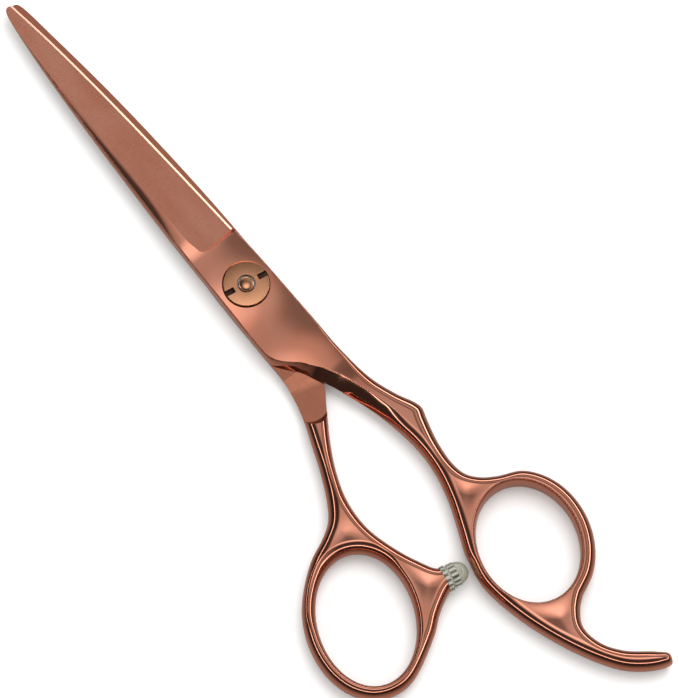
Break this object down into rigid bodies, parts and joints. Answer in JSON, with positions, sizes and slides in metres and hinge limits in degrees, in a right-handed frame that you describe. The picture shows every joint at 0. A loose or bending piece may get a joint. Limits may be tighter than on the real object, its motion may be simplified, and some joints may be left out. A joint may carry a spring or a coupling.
{
  "type": "hair cutting shears",
  "caption": "Pair of hair cutting shears with an offset handle, fixed finger rest, silicone bumper and a key-adjusted ball-bearing pivot.",
  "frame": {"origin": "on the pivot axis, at the flat face of the stud head that the shears rest on", "axes": "+X along the closed shears towards the finger rings, -X towards the tips, +Y towards the finger ring's side, +Z along the pivot axis out of the adjusting dial"},
  "size_m": [0.1745, 0.0569, 0.0059],
  "materials": {
    "rose_gold_steel": "mirror-polished stainless steel with a rose-gold vapour coating; the ground faces of the blades are satin",
    "bronze_steel": "steel with a bronze-gold coating, turned with fine concentric lines",
    "bearing_steel": "bare polished steel",
    "cage_brass": "plain stamped brass",
    "white_polymer": "self-lubricating polymer, matt white",
    "clear_silicone": "translucent soft silicone, milky grey-white"
  },
  "bodies": {
    "finger_half": {"finger_blade": "rose_gold_steel", "finger_handle": "rose_gold_steel", "pivot_bushing": "white_polymer", "lower_race": "bearing_steel"},
    "thumb_half": {"thumb_blade": "rose_gold_steel", "thumb_handle": "rose_gold_steel", "pivot_stud": "bronze_steel", "ride_washer": "white_polymer", "bumper_post": "bearing_steel", "bumper_cap": "clear_silicone"},
    "bearing_cage": {"ball_cage": "cage_brass", "bearing_balls": "bearing_steel"},
    "dial": {"tension_dial": "bronze_steel", "upper_race": "bearing_steel", "lock_ring": "white_polymer"}
  },
  "joints": [
    {"name": "blade_pivot", "type": "hinge", "parent": "finger_half", "child": "thumb_half", "pos_m": [0, 0, 0.0027], "axis": [0, 0, -1], "range_deg": [0, 120]},
    {"name": "cage_roll", "type": "hinge", "parent": "finger_half", "child": "bearing_cage", "pos_m": [0, 0, 0.0041], "axis": [0, 0, -1], "range_deg": [0, 60]},
    {"name": "dial_turn", "type": "hinge", "parent": "thumb_half", "child": "dial", "pos_m": [0, 0, 0.005], "axis": [0, 0, 1], "range_deg": [-90, 90]}
  ],
  "couplings": [
    {"joint": "cage_roll", "follows": "blade_pivot", "ratio": 0.5}
  ]
}
